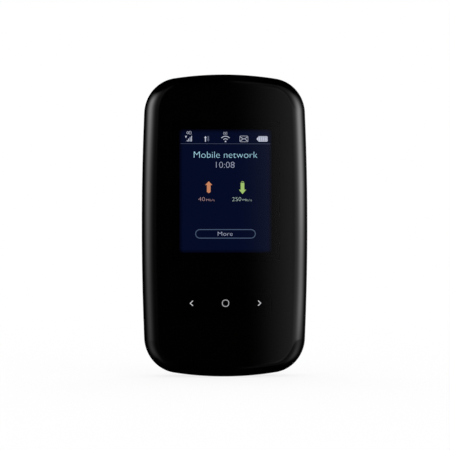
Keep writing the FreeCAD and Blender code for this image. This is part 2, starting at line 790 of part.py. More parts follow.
def sim_contacts():
    """Six sprung fingers that reach up to the card."""
    length, width, crown_r = 3.0, 1.0, 0.55
    fingers = []
    for x, z in sim_contact_places():
        foot = centred_block(x, z, length, width, SIM_WELL_FLOOR_Y, SIM_WELL_FLOOR_Y + 0.15)
        crown = Part.makeCylinder(crown_r, width, Vector(x, 0.42, z - width / 2), Vector(0, 0, 1))
        room = centred_block(x, z, length, width, SIM_WELL_FLOOR_Y, SIM_LID_FRONT_Y)
        fingers.append(fuse_all([foot, crown.common(room)]))
    return Part.makeCompound(fingers)


def sim_holder():
    """Folded metal lid of the SIM socket, with a window for a fingertip."""
    x0, x1 = SIM_X - SIM_LID_HALF_WIDTH, SIM_X + SIM_LID_HALF_WIDTH
    z0, z1 = SIM_SOCKET_BOTTOM_Z, SIM_SOCKET_TOP_Z
    fold_y = SIM_LID_FRONT_Y + 0.05
    lid = block(x0, x1, SIM_LID_FRONT_Y, SIM_LID_REAR_Y, z0, z1)
    sides = [block(x0, x0 + SIM_LID_SHEET, BOARD_REAR_Y, fold_y, z0, z1),
             block(x1 - SIM_LID_SHEET, x1, BOARD_REAR_Y, fold_y, z0, z1)]
    back = block(x0, x1, BOARD_REAR_Y, fold_y, z1 - SIM_LID_SHEET, z1)
    opening = rounded_block(SIM_X - 4.0, SIM_X + 4.0, SIM_FRONT_Y, 3.0, 99.6, 108.6, 1.0)
    return fuse_all([lid, back] + sides).cut(opening)


SPRING_HALF_WIDTH = 0.6
SPRING_NOSE_R = 0.7
SPRING_NOSE_Z = 95.6
SPRING_Y = 3.0
SPRING_TOP_Z = 99.0


def battery_connector():
    """Moulded block that holds the battery's contact springs."""
    x0, x1 = CONTACT_X[0] - 1.7, CONTACT_X[-1] + 1.7
    z0, z1 = 96.5, 100.5
    body = block(x0, x1, BOARD_REAR_Y, 4.7, z0, z1)
    half_width, half_depth = SPRING_HALF_WIDTH + 0.1, SPRING_NOSE_R + 0.2
    slots = [block(x - half_width, x + half_width, SPRING_Y - half_depth, SPRING_Y + half_depth,
                   z0 - 0.5, SPRING_TOP_Z + 0.1) for x in CONTACT_X]
    return body.cut(slots)


def battery_contacts():
    """Four contact springs with rounded noses that face the battery."""
    springs = []
    for x in CONTACT_X:
        x0, x1 = x - SPRING_HALF_WIDTH, x + SPRING_HALF_WIDTH
        nose = Part.makeCylinder(SPRING_NOSE_R, x1 - x0, Vector(x0, SPRING_Y, SPRING_NOSE_Z),
                                 Vector(1, 0, 0))
        stem = block(x0, x1, SPRING_Y - SPRING_NOSE_R, SPRING_Y + SPRING_NOSE_R,
                     SPRING_NOSE_Z, SPRING_TOP_Z)
        springs.append(fuse_all([nose, stem]))
    return Part.makeCompound(springs)


def antenna_clips():
    """Spring clips that lift the board's radio lines to the antennas."""
    places = ((-20.0, 106.0), (-15.0, 106.0), (-16.0, 9.5), (16.0, 9.5))
    half_length, half_width, sheet, top_y = 1.5, 0.7, 0.2, 5.2
    clips = []
    for x, z in places:
        x0, x1 = x - half_length, x + half_length
        z0, z1 = z - half_width, z + half_width
        foot = block(x0, x1, BOARD_REAR_Y, BOARD_REAR_Y + sheet, z0, z1)
        riser = block(x0, x0 + sheet, BOARD_REAR_Y, top_y, z0, z1)
        crown = block(x0, x1 - 0.3, top_y - sheet, top_y, z0, z1)
        clips.append(fuse_all([foot, riser, crown]))
    return Part.makeCompound(clips)


ANTENNA_FRONT_Y = DECK_REAR_Y + 0.01
ANTENNA_REAR_Y = ANTENNA_FRONT_Y + 0.1
ANTENNA_TRACK = 2.4


def antenna_flex_top():
    """Folded antenna pattern on film, bonded to the upper deck."""
    path = [(-20.5, 99.5), (-20.5, 113.0), (-5.5, 113.6), (-5.5, 109.0), (-16.5, 108.6),
            (-16.5, 104.6), (-5.5, 104.6), (-5.5, 99.5)]
    return stroke(path, ANTENNA_TRACK, ANTENNA_FRONT_Y, ANTENNA_REAR_Y)


def antenna_flex_bottom():
    """Antenna pattern on film, bonded to the lower deck."""
    path = [(-19.5, 13.0), (-19.5, 8.4), (-9.0, 7.4), (9.0, 7.4), (19.5, 8.4), (19.5, 13.0)]
    return stroke(path, ANTENNA_TRACK, ANTENNA_FRONT_Y, ANTENNA_REAR_Y)


# ---- Bay housing -----------------------------------------------------------

DECK_ROLL = 3.4
POCKET_CORNER = 0.8
SCREW_SEAT_Y = 5.5
HOUSING_HOOK_TOP_Y = 4.4


def bay_housing():
    """Rear housing: the battery bay, and the two decks that close the body."""
    upper = slab(BAY_INSET, BAND_REAR_Y + 0.05, DECK_REAR_Y)
    rear_edges = [edge for number, edge in edges_at(upper, DECK_REAR_Y)]
    upper = upper.makeFillet(DECK_ROLL, rear_edges)
    spigot = slab(BAY_SPIGOT_INSET, BAY_FLOOR_FRONT_Y, BAND_REAR_Y + 0.1)
    solid = fuse_all([upper, spigot])

    pocket = rounded_block(-POCKET_HALF_WIDTH, POCKET_HALF_WIDTH, BAY_FLOOR_REAR_Y, REAR_Y,
                           POCKET_BOTTOM_Z, POCKET_TOP_Z, POCKET_CORNER)
    under_deck = slab(DECK_CAVITY_INSET, BAY_FLOOR_FRONT_Y - 1, DECK_UNDER_Y)
    low_room = under_deck.common(block(-WIDTH, WIDTH, -1, REAR_Y, 0,
                                       POCKET_BOTTOM_Z - POCKET_WALL))
    high_room = under_deck.common(block(-WIDTH, WIDTH, -1, REAR_Y,
                                        POCKET_TOP_Z + POCKET_WALL, HEIGHT))
    solid = cut_all(solid, [pocket, low_room, high_room])

    bosses = [pin_y(x, z, BOSS_RADIUS + 0.1, BOARD_REAR_Y + 0.05, DECK_UNDER_Y + 0.2)
              for x, z in screw_places()]
    bosses.append(pin_y(RESET_X, RESET_Z, 2.0, 2.7, DECK_UNDER_Y + 0.2))
    solid = fuse_all([solid] + bosses)
    return cut_all(solid, bay_openings())


def bay_openings():
    """Everything cut through the bay housing's walls and decks."""
    tools = []
    for x, z in screw_places():
        tools.append(pin_y(x, z, SCREW_SHANK_R + 0.15, -1, REAR_Y))
        tools.append(pin_y(x, z, SCREW_HEAD_R + 0.2, SCREW_SEAT_Y, REAR_Y))
    tools.append(pin_y(RESET_X, RESET_Z, RESET_PIN_R + 0.05, 2.0, 5.1))
    tools.append(pin_y(RESET_X, RESET_Z, 0.6, 5.0, REAR_Y))
    wall_z0, wall_z1 = POCKET_TOP_Z - 0.5, POCKET_TOP_Z + POCKET_WALL + 0.5
    tools.append(block(CONTACT_X[0] - 1.2, CONTACT_X[-1] + 1.2, SPRING_Y - 1.1, SPRING_Y + 1.1,
                       wall_z0, wall_z1))
    tools.append(block(SIM_X - SIM_LID_HALF_WIDTH, SIM_X + SIM_LID_HALF_WIDTH, BAY_FLOOR_REAR_Y,
                       SIM_LID_REAR_Y + 0.2, wall_z0, wall_z1))
    tools.append(rounded_block(SIM_X - 5.0, SIM_X + 5.0, DECK_UNDER_Y - 1, REAR_Y,
                               98.8, 109.4, 2.0))
    finger_r, finger_length, finger_y = 8.0, 4.0, 11.0
    tools.append(Part.makeCylinder(finger_r, finger_length,
                                   Vector(0, finger_y, POCKET_BOTTOM_Z - 3.5), Vector(0, 0, 1)))
    hooks = ring(BAY_INSET - 0.1, 2.0, BAND_REAR_Y, HOUSING_HOOK_TOP_Y)
    tools.append(hooks.common(hook_windows(HOOK_ROOM, BAND_REAR_Y, HOUSING_HOOK_TOP_Y)))
    port_half_width = USB_WIDTH / 2 + 1.05
    tools.append(block(-port_half_width, port_half_width, 0, 2.2, 0, USB_REAR_Z + 0.7))
    tools.append(block(POWER_X - POWER_ROOM_HALF_WIDTH, POWER_X + POWER_ROOM_HALF_WIDTH, 0, 2.0,
                       SWITCH_TOP_Z - 0.1, HEIGHT))
    return tools


def bay_label():
    """Blank paper label on the bay's floor."""
    half_width, z0, z1 = 18.0, 34.0, 78.0
    return rounded_block(-half_width, half_width, BAY_FLOOR_REAR_Y, BAY_FLOOR_REAR_Y + 0.08,
                         z0, z1, 2.0)


def housing_screws():
    """Four cross-head screws that clamp the decks and the board to the chassis."""
    head_top_y, tip_y = SCREW_SEAT_Y + 0.65, -4.6
    cross_length, cross_width, cross_depth = 1.7, 0.35, 0.35
    screws = []
    for x, z in screw_places():
        head = pin_y(x, z, SCREW_HEAD_R, SCREW_SEAT_Y, head_top_y)
        shank = pin_y(x, z, SCREW_SHANK_R, tip_y, SCREW_SEAT_Y)
        y0, y1 = head_top_y - cross_depth, head_top_y + 1
        cross = fuse_all([centred_block(x, z, cross_length, cross_width, y0, y1),
                          centred_block(x, z, cross_width, cross_length, y0, y1)])
        screws.append(fuse_all([head, shank]).cut(cross))
    return Part.makeCompound(screws)


# ---- Rear cover, a body that lifts off -------------------------------------

def rear_cover():
    """Clip-on cover with straight hooks and a fingernail notch at each side."""
    outer = soften(slab(0, COVER_RIM_Y, REAR_Y), COVER_RIM_Y, EDGE_BREAK)
    outer = outer.makeFillet(COVER_ROLL, [edge for number, edge in edges_at(outer, REAR_Y)])
    inner = slab(COVER_WALL, COVER_RIM_Y - 1, COVER_INNER_Y)
    inner = inner.makeFillet(COVER_ROLL - COVER_WALL,
                             [edge for number, edge in edges_at(inner, COVER_INNER_Y)])
    hook_y0, hook_y1 = HOOK_FLOOR_Y + 0.1, HOUSING_HOOK_TOP_Y - 0.2
    hooks = ring(0.9, 1.75, hook_y0, hook_y1).common(hook_windows(0, hook_y0, hook_y1))
    solid = fuse_all([outer.cut(inner)] + hooks.Solids)
    notch_r, notch_rise, notch_depth, notch_z = 8.0, 0.9, 0.8, 20.0
    notch = Part.makeCylinder(notch_r, 2 * WIDTH,
                              Vector(-WIDTH, COVER_RIM_Y + notch_rise - notch_r, notch_z),
                              Vector(1, 0, 0))
    return solid.cut(notch.common(ring(-1.0, notch_depth, FRONT_Y, REAR_Y)))


def cover_pads():
    """Two foam strips that hold the battery down."""
    pad_x, half_width, z0, z1 = 15.0, 4.0, 32.0, 82.0
    pads = []
    for side in (-1, 1):
        x0, x1 = side * pad_x - half_width, side * pad_x + half_width
        pads.append(block(x0, x1, BATTERY_REAR_Y + 0.05, COVER_INNER_Y, z0, z1))
    return Part.makeCompound(pads)


# ---- Battery, a body that lifts out ----------------------------------------

CAP_BOTTOM_Z = BATTERY_TOP_Z - 2.6
BATTERY_ROLL = 0.9


def battery_block(z0, z1):
    """The battery's section between two heights, with rounded long edges."""
    half = BATTERY_WIDTH / 2
    solid = block(-half, half, BATTERY_FRONT_Y, BATTERY_REAR_Y, z0, z1)
    along_z = [edge for edge in solid.Edges if edge.BoundBox.ZLength > (z1 - z0) / 2]
    return solid.makeFillet(BATTERY_ROLL, along_z)


def battery_cell():
    return battery_block(BATTERY_BOTTOM_Z, CAP_BOTTOM_Z - 0.05)


def battery_pad_boxes(depth):
    """Flat contact pads in the battery's top end."""
    half_width, half_height = 1.3, 1.2
    return [block(x - half_width, x + half_width, SPRING_Y - half_height, SPRING_Y + half_height,
                  BATTERY_TOP_Z - depth, BATTERY_TOP_Z) for x in CONTACT_X]


def battery_cap():
    """Moulded cap that holds the battery's protection board and contact pads."""
    cap = battery_block(CAP_BOTTOM_Z, BATTERY_TOP_Z)
    return cap.cut(battery_pad_boxes(0.2))


def battery_pads():
    return Part.makeCompound(battery_pad_boxes(0.18))


# ---- SIM card, a body that slides out --------------------------------------

def sim_card():
    """Card with one cut corner and a shallow recess for its contact plate."""
    x0, x1 = SIM_X - SIM_WIDTH / 2, SIM_X + SIM_WIDTH / 2
    z0, z1 = SIM_BOTTOM_Z, SIM_BOTTOM_Z + SIM_LENGTH
    cut = 2.6
    points = [(x0, z0), (x1, z0), (x1, z1 - cut), (x1 - cut, z1), (x0, z1)]
    corners = [Vector(x, SIM_FRONT_Y, z) for x, z in points]
    face = Part.Face(Part.makePolygon(corners + corners[:1]))
    card = face.extrude(Vector(0, SIM_REAR_Y - SIM_FRONT_Y, 0))
    return card.cut(sim_plate(0.06))


def sim_plate(depth):
    """The contact plate's area in the card's front face."""
    return rounded_block(SIM_X - 4.4, SIM_X + 4.4, SIM_FRONT_Y, SIM_FRONT_Y + depth,
                         101.2, 109.8, 0.8)


def sim_chip():
    return sim_plate(0.05)


# ---- Power key and reset plunger -------------------------------------------

def power_key():
    """Key flush with the top edge, with a flange that keeps it in the band."""
    cap = stadium_z(POWER_X, POWER_Y, POWER_LENGTH, POWER_WIDTH, POWER_FLANGE_TOP_Z, HEIGHT)
    cap = cap.common(slab(0.04, -3, 3))
    flange_half_width = POWER_ROOM_HALF_WIDTH - 0.5
    flange = block(POWER_X - flange_half_width, POWER_X + flange_half_width, POWER_Y - 1.25,
                   POWER_Y + 1.25, POWER_FLANGE_TOP_Z - 0.6, POWER_FLANGE_TOP_Z)
    plunger_z = SWITCH_TOP_Z + POWER_TRAVEL + 0.05
    plunger = block(POWER_X - 1.3, POWER_X + 1.3, ACTUATOR_FRONT_Y, ACTUATOR_REAR_Y, plunger_z,
                    POWER_FLANGE_TOP_Z)
    return fuse_all([cap, flange, plunger])


def reset_plunger():
    """Pin that a straightened paper clip pushes on to the reset switch."""
    y0 = RESET_SWITCH_TOP_Y + RESET_TRAVEL + 0.1
    return pin_y(RESET_X, RESET_Z, RESET_PIN_R, y0, 4.95)


# ---- Export ----------------------------------------------------------------

NODES = (front_lens, ink_mask, lens_tape,
         display_foam, display_glass, display_backlight, display_flex, display_connector,
         key_diffuser, touch_key_board, key_leds, key_flex, key_connector,
         mid_frame, main_board, shield_can_processor, shield_can_radio, shield_can_power,
         modem_chip, memory_chip, wifi_chip, power_chip, radio_amplifiers, thermal_pad,
         board_passives, heat_spreader, usb_shell, usb_tongue, usb_contacts,
         power_switch, reset_switch, sim_base, sim_contacts, sim_holder,
         battery_connector, battery_contacts, antenna_clips,
         antenna_flex_top, antenna_flex_bottom, bay_housing, bay_label, housing_screws,
         rear_cover, cover_pads, battery_cell, battery_cap, battery_pads,
         sim_card, sim_chip, power_key, reset_plunger)

os.makedirs(PARTS_FOLDER, exist_ok=True)
for node in NODES:
    node().exportStep(PARTS_FOLDER + "/" + node.__name__ + ".step")
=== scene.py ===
import json
import math

import bmesh
import bpy
from mathutils import Matrix, Vector


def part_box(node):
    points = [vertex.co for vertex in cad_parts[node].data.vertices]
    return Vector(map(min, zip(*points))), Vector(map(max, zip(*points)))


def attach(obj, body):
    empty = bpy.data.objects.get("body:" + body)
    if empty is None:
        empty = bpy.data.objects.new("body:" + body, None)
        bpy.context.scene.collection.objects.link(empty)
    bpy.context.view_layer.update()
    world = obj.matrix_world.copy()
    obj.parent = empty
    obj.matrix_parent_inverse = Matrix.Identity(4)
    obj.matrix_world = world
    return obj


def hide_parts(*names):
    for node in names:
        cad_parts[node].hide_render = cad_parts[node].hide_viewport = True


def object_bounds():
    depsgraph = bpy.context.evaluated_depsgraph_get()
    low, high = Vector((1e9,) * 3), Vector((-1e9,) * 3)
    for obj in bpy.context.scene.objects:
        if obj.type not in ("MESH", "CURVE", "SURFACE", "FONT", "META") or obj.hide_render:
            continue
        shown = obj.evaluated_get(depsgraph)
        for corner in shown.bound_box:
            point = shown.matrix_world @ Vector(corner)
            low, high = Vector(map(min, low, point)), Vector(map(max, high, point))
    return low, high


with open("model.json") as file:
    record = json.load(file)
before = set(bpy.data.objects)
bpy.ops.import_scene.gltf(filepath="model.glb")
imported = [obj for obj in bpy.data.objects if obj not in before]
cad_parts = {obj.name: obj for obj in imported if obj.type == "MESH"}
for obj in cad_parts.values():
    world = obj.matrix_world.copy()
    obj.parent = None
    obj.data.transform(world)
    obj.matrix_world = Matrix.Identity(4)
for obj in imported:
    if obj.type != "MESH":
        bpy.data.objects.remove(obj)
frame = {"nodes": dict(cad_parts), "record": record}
CAD_LOW, CAD_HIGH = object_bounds()

# Everything is in metres.  The device stands upright: its glossy face looks
# along -Y, +X is to the right seen from the front, and +Z is up.

MM = 0.001

# ---- The outline, worked out from the frame's own size ---------------------

HALF_WIDTH = (CAD_HIGH.x - CAD_LOW.x) / 2
HALF_HEIGHT = (CAD_HIGH.z - CAD_LOW.z) / 2
MIDDLE_Z = (CAD_HIGH.z + CAD_LOW.z) / 2
FRONT_Y = CAD_LOW.y
REAR_Y = CAD_HIGH.y

SIDE_RADIUS = 1042.0 * MM
END_RADIUS = 129.7 * MM
CORNER_RADIUS = 14.0 * MM

# ---- Section of the front lens ---------------------------------------------

LENS_WALL = 1.15 * MM
LENS_SIDE_ROLL = 5.8 * MM
LENS_END_ROLL = 4.0 * MM
EDGE_BREAK = 0.14 * MM
PRINT_BLACK = (0.0003, 0.0003, 0.0003)

# ---- Section of the rear cover ---------------------------------------------

COVER_WALL = 1.2 * MM
COVER_ROLL = 5.0 * MM
COVER_RIM_Y = 2.4 * MM

# ---- Display and its picture -----------------------------------------------

WINDOW_BORDER = 1.9 * MM
PICTURE_THICKNESS = 0.03 * MM
PICTURE_GAP = 0.02 * MM


def picture_area():
    """Left, top, width and height of the lit window, and the picture's y."""
    low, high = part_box("display_foam")
    left, top = low.x + WINDOW_BORDER, high.z - WINDOW_BORDER
    width = high.x - low.x - 2 * WINDOW_BORDER
    height = high.z - low.z - 2 * WINDOW_BORDER
    return left, top, width, height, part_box("display_glass")[0].y - PICTURE_GAP


LEFT, TOP, ACROSS, DOWN, PICTURE_Y = picture_area()


# ============================================================================
# Shader helpers
# ============================================================================

def add_node(tree, kind, inputs=None, **settings):
    """A shader node with its settings made, and its inputs set or linked."""
    node = tree.nodes.new(kind)
    for name, value in settings.items():
        setattr(node, name, value)
    for name, value in (inputs or {}).items():
        if isinstance(value, bpy.types.NodeSocket):
            tree.links.new(value, node.inputs[name])
        else:
            node.inputs[name].default_value = value
    return node


def maths(tree, operation, first, second=0.0):
    """The result of one Math node."""
    node = add_node(tree, "ShaderNodeMath", {0: first, 1: second}, operation=operation)
    return node.outputs[0]


def product(tree, *values):
    """All the values multiplied together."""
    result = values[0]
    for value in values[1:]:
        result = maths(tree, "MULTIPLY", result, value)
    return result


def total(tree, *values):
    """All the values added together."""
    result = values[0]
    for value in values[1:]:
        result = maths(tree, "ADD", result, value)
    return result


def smooth_step(tree, value, start, end):
    """0 at start and beyond, 1 at end and beyond, smooth between.  End may be below start."""
    node = add_node(tree, "ShaderNodeMapRange",
                    {"Value": value, "From Min": start, "From Max": end},
                    interpolation_type="SMOOTHSTEP")
    return node.outputs["Result"]


def map_range(tree, value, low, high):
    """A 0 to 1 value stretched to low to high."""
    node = add_node(tree, "ShaderNodeMapRange", {"Value": value, "To Min": low, "To Max": high})
    return node.outputs["Result"]


def bell(tree, value, centre, width):
    """A bell curve, 1 at the centre."""
    offset = maths(tree, "DIVIDE", maths(tree, "SUBTRACT", value, centre), width)
    square = maths(tree, "MULTIPLY", offset, offset)
    return maths(tree, "EXPONENT", maths(tree, "MULTIPLY", square, -0.5))


def blank_material(name):
    """A node material with only its output node."""
    material = bpy.data.materials.new(name)
    material.use_nodes = True
    material.node_tree.nodes.clear()
    output = material.node_tree.nodes.new("ShaderNodeOutputMaterial")
    return material, material.node_tree, output


def place(tree):
    """Position in metres, the same for every piece at rest."""
    return add_node(tree, "ShaderNodeTexCoord").outputs["Object"]


def noise(tree, size, detail=2.0, stretch=(1, 1, 1)):
    """A noise value whose features are about size metres across."""
    scaled = add_node(tree, "ShaderNodeMapping", {"Vector": place(tree), "Scale": stretch})
    node = add_node(tree, "ShaderNodeTexNoise",
                    {"Vector": scaled.outputs[0], "Scale": 1 / size, "Detail": detail})
    return node.outputs["Fac"]


def tinted(tree, colour, share, value):
    """The colour, darker and lighter by share as value goes from 0 to 1."""
    dark = [channel * (1 - share) for channel in colour] + [1]
    light = [channel * (1 + share) for channel in colour] + [1]
    node = add_node(tree, "ShaderNodeMix", {0: value, 6: dark, 7: light}, data_type="RGBA")
    return node.outputs[2]


def bumped(tree, height, depth):
    """A normal raised by height times depth metres."""
    node = add_node(tree, "ShaderNodeBump", {"Height": height, "Distance": depth, "Strength": 1.0})
    return node.outputs["Normal"]


# ============================================================================
# Materials
# ============================================================================

def moulded(name, colour, roughness, grain, depth):
    """Moulded plastic with a fine grain and a faint unevenness in tone and gloss."""
    material, tree, output = blank_material(name)
    cloud = noise(tree, 9 * MM)
    texture = noise(tree, grain, 3.0)
    shader = add_node(tree, "ShaderNodeBsdfPrincipled", {
        "Base Color": tinted(tree, colour, 0.12, cloud),
        "Roughness": map_range(tree, texture, roughness * 0.85, roughness * 1.15),
        "Normal": bumped(tree, texture, depth)})
    tree.links.new(shader.outputs[0], output.inputs["Surface"])
    return material


def metal(name, colour, roughness, stretch=(1, 1, 1), grain=0.3 * MM):
    """Sheet metal, brushed along the axis that stretch holds back."""
    material, tree, output = blank_material(name)
    brushed = noise(tree, grain, 4.0, stretch)
    shader = add_node(tree, "ShaderNodeBsdfPrincipled", {
        "Base Color": tinted(tree, colour, 0.08, brushed),
        "Metallic": 1.0,
        "Roughness": map_range(tree, brushed, roughness * 0.7, roughness * 1.3),
        "Normal": bumped(tree, brushed, 0.004 * MM)})
    tree.links.new(shader.outputs[0], output.inputs["Surface"])
    return material


def circuit_board(name, mask, tracks):
    """Solder mask over copper tracks that show through as a slightly lighter tone."""
    material, tree, output = blank_material(name)
    rows = add_node(tree, "ShaderNodeTexWave", {
        "Vector": place(tree), "Scale": 110.0, "Distortion": 9.0, "Detail": 1.0,
        "Detail Scale": 1.2}, bands_direction="DIAGONAL")
    edge = smooth_step(tree, rows.outputs["Fac"], 0.62, 0.7)
    colour = add_node(tree, "ShaderNodeMix", {0: edge, 6: (*mask, 1), 7: (*tracks, 1)},
                      data_type="RGBA")
    shader = add_node(tree, "ShaderNodeBsdfPrincipled", {
        "Base Color": colour.outputs[2], "Roughness": 0.35,
        "Normal": bumped(tree, edge, 0.015 * MM)})
    tree.links.new(shader.outputs[0], output.inputs["Surface"])
    return material


def soft_foam(name, colour):
    """Closed-cell foam: matte, with cells a fifth of a millimetre across."""
    material, tree, output = blank_material(name)
    cells = add_node(tree, "ShaderNodeTexVoronoi", {"Vector": place(tree), "Scale": 5000.0})
    distance = cells.outputs["Distance"]
    shader = add_node(tree, "ShaderNodeBsdfPrincipled", {
        "Base Color": tinted(tree, colour, 0.5, distance), "Roughness": 0.95,
        "Normal": bumped(tree, distance, 0.05 * MM)})
    tree.links.new(shader.outputs[0], output.inputs["Surface"])
    return material


def glowing(name, colour, strength=1.0):
    """A lit area, a little uneven as a back light is."""
    material, tree, output = blank_material(name)
    cloud = noise(tree, 6 * MM, 1.0)
    shader = add_node(tree, "ShaderNodeEmission", {
        "Color": (*colour, 1), "Strength": map_range(tree, cloud, strength * 0.97, strength * 1.03)})
    tree.links.new(shader.outputs[0], output.inputs["Surface"])
    return material


def in_front_of(tree, node_name, margin):
    """1 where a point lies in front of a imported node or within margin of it, else 0."""
    low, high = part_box(node_name)
    where = add_node(tree, "ShaderNodeSeparateXYZ", {0: place(tree)})
    edge = 0.1 * MM
    limits = []
    for value, least, most in ((where.outputs["X"], low.x - margin, high.x + margin),
                               (where.outputs["Z"], low.z - margin, high.z + margin)):
        limits.append(smooth_step(tree, value, least - edge, least))
        limits.append(smooth_step(tree, value, most + edge, most))
    return product(tree, *limits)


def clear_lens():
    """Hard-coated clear acrylic: a sharp reflection over whatever lies behind it.

    It is clear in front of the display and the glyphs.  Everywhere else the print is all
    that shows through its wall, so there it is that black itself."""
    material, tree, output = blank_material("clear_lens")
    fresnel = add_node(tree, "ShaderNodeFresnel", {"IOR": 1.49})
    geometry = add_node(tree, "ShaderNodeNewGeometry")
    outside = maths(tree, "SUBTRACT", 1.0, geometry.outputs["Backfacing"])
    share = maths(tree, "MULTIPLY", fresnel.outputs[0], outside)
    wipe = noise(tree, 20 * MM, 1.0)
    gloss = add_node(tree, "ShaderNodeBsdfGlossy",
                     {"Color": (1, 1, 1, 1), "Roughness": map_range(tree, wipe, 0.006, 0.010)})
    facing = add_node(tree, "ShaderNodeSeparateXYZ", {0: geometry.outputs["True Normal"]})
    flatness = maths(tree, "ABSOLUTE", facing.outputs["Y"])
    flat = smooth_step(tree, flatness, 0.90, 0.97)
    margin = 1 * MM
    openings = maths(tree, "MAXIMUM", in_front_of(tree, "display_foam", margin),
                     in_front_of(tree, "key_diffuser", margin))
    see_through = maths(tree, "MULTIPLY", flat, openings)
    clear = add_node(tree, "ShaderNodeBsdfTransparent", {"Color": (0.985, 0.985, 0.99, 1)})
    ink = add_node(tree, "ShaderNodeBsdfDiffuse", {"Color": (*PRINT_BLACK, 1)})
    body = add_node(tree, "ShaderNodeMixShader", {0: see_through, 1: ink.outputs[0],
                                                  2: clear.outputs[0]})
    mixed = add_node(tree, "ShaderNodeMixShader", {0: share, 1: body.outputs[0],
                                                   2: gloss.outputs[0]})
    tree.links.new(mixed.outputs[0], output.inputs["Surface"])
    return material


def black_print():
    """Opaque ink on the lens's inner face, with no shine of its own."""
    material, tree, output = blank_material("black_print")
    shader = add_node(tree, "ShaderNodeBsdfDiffuse", {
        "Color": tinted(tree, PRINT_BLACK, 0.2, noise(tree, 1 * MM))})
    tree.links.new(shader.outputs[0], output.inputs["Surface"])
    return material


def lit_keys():
    """Light behind the touch glyphs, weaker behind the middle one."""
    material, tree, output = blank_material("lit_keys")
    across = add_node(tree, "ShaderNodeSeparateXYZ", {0: place(tree)}).outputs["X"]
    middle = bell(tree, across, 0.0, 3 * MM)
    level = map_range(tree, middle, 0.62, 0.40)
    glow = add_node(tree, "ShaderNodeEmission", {
        "Color": tinted(tree, (0.97, 0.98, 1.0), 0.03, noise(tree, 2 * MM)), "Strength": level})
    tree.links.new(glow.outputs[0], output.inputs["Surface"])
    return material


def lit_display():
    """The panel's navy background, weaker towards the window's edges and round at its corners."""
    material, tree, output = blank_material("lit_display")
    cloud = noise(tree, 18 * MM, 1.0)
    colour = add_node(tree, "ShaderNodeMix", {
        0: cloud, 6: (0.0012, 0.0034, 0.0180, 1), 7: (0.0019, 0.0040, 0.0210, 1)},
        data_type="RGBA")
    where = add_node(tree, "ShaderNodeSeparateXYZ", {0: place(tree)})
    from_left = maths(tree, "SUBTRACT", where.outputs["X"], LEFT)
    from_right = maths(tree, "SUBTRACT", LEFT + ACROSS, where.outputs["X"])
    from_top = maths(tree, "SUBTRACT", TOP, where.outputs["Z"])
    from_foot = maths(tree, "SUBTRACT", where.outputs["Z"], TOP - DOWN)
    radius = 2.0 * MM
    squares = []
    for pair in ((from_left, from_right), (from_top, from_foot)):
        distance = maths(tree, "MINIMUM", *pair)
        short = maths(tree, "MAXIMUM", maths(tree, "SUBTRACT", radius, distance), 0.0)
        squares.append(maths(tree, "MULTIPLY", short, short))
    reach = maths(tree, "SQRT", maths(tree, "ADD", *squares))
    fade = smooth_step(tree, reach, radius + 0.6 * MM, radius - 1.7 * MM)
    glow = add_node(tree, "ShaderNodeEmission", {"Color": colour.outputs[2], "Strength": fade})
    tree.links.new(glow.outputs[0], output.inputs["Surface"])
    return material


def slot_materials():
    """One finish for each of the record's material slots."""
    return {
        "lens_clear": clear_lens(),
        "black_ink": black_print(),
        "adhesive": moulded("adhesive", (0.02, 0.02, 0.02), 0.7, 0.3 * MM, 0.004 * MM),
        "foam": soft_foam("foam", (0.03, 0.03, 0.033)),
        "display_glass": lit_display(),
        "light_guide": lit_keys(),
        "polyimide": moulded("polyimide", (0.42, 0.16, 0.03), 0.35, 0.4 * MM, 0.003 * MM),
        "board_green": circuit_board("board_green", (0.006, 0.05, 0.03), (0.015, 0.10, 0.06)),
        "board_black": circuit_board("board_black", (0.008, 0.008, 0.009), (0.02, 0.02, 0.02)),
        "chip_black": moulded("chip_black", (0.014, 0.014, 0.015), 0.6, 0.12 * MM, 0.01 * MM),
        "lamp": glowing("lamp", (0.9, 0.88, 0.8), 1.2),
        "ceramic_parts": moulded("ceramic_parts", (0.30, 0.19, 0.10), 0.4, 0.3 * MM, 0.002 * MM),
        "chassis_black": moulded("chassis_black", (0.008, 0.008, 0.009), 0.30, 0.12 * MM,
                                 0.002 * MM),
        "cover_black": moulded("cover_black", (0.020, 0.020, 0.021), 0.40, 0.16 * MM,
                               0.008 * MM),
        "housing_grey": moulded("housing_grey", (0.034, 0.034, 0.036), 0.5, 0.14 * MM,
                                0.006 * MM),
        "tin_plate": metal("tin_plate", (0.62, 0.62, 0.60), 0.28, (1, 1, 0.05)),
        "steel_dark": metal("steel_dark", (0.10, 0.10, 0.105), 0.35),
        "copper": metal("copper", (0.80, 0.40, 0.24), 0.35, (0.2, 1, 1), 0.8 * MM),
        "gold": metal("gold", (0.90, 0.66, 0.28), 0.22),
        "socket_plastic": moulded("socket_plastic", (0.012, 0.012, 0.012), 0.5, 0.2 * MM,
                                  0.006 * MM),
        "thermal_pad": moulded("thermal_pad", (0.20, 0.26, 0.34), 0.85, 0.5 * MM, 0.02 * MM),
        "label_paper": moulded("label_paper", (0.62, 0.62, 0.60), 0.8, 0.25 * MM, 0.008 * MM),
        "battery_wrap": moulded("battery_wrap", (0.030, 0.031, 0.034), 0.38, 0.8 * MM,
                                0.006 * MM),
        "battery_cap": moulded("battery_cap", (0.010, 0.010, 0.010), 0.55, 0.14 * MM,
                               0.006 * MM),
        "card_white": moulded("card_white", (0.70, 0.71, 0.74), 0.3, 0.5 * MM, 0.002 * MM),
        "key_black": moulded("key_black", (0.010, 0.010, 0.011), 0.24, 0.12 * MM, 0.001 * MM),
        "plunger_grey": moulded("plunger_grey", (0.12, 0.12, 0.125), 0.45, 0.2 * MM,
                                0.004 * MM),
    }


def dress_frame(materials):
    """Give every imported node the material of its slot."""
    for entry in frame["record"]["subparts"]:
        node = frame["nodes"][entry["node"]]
        for slot in node.material_slots:
            slot.material = materials[entry["material_slot"]]


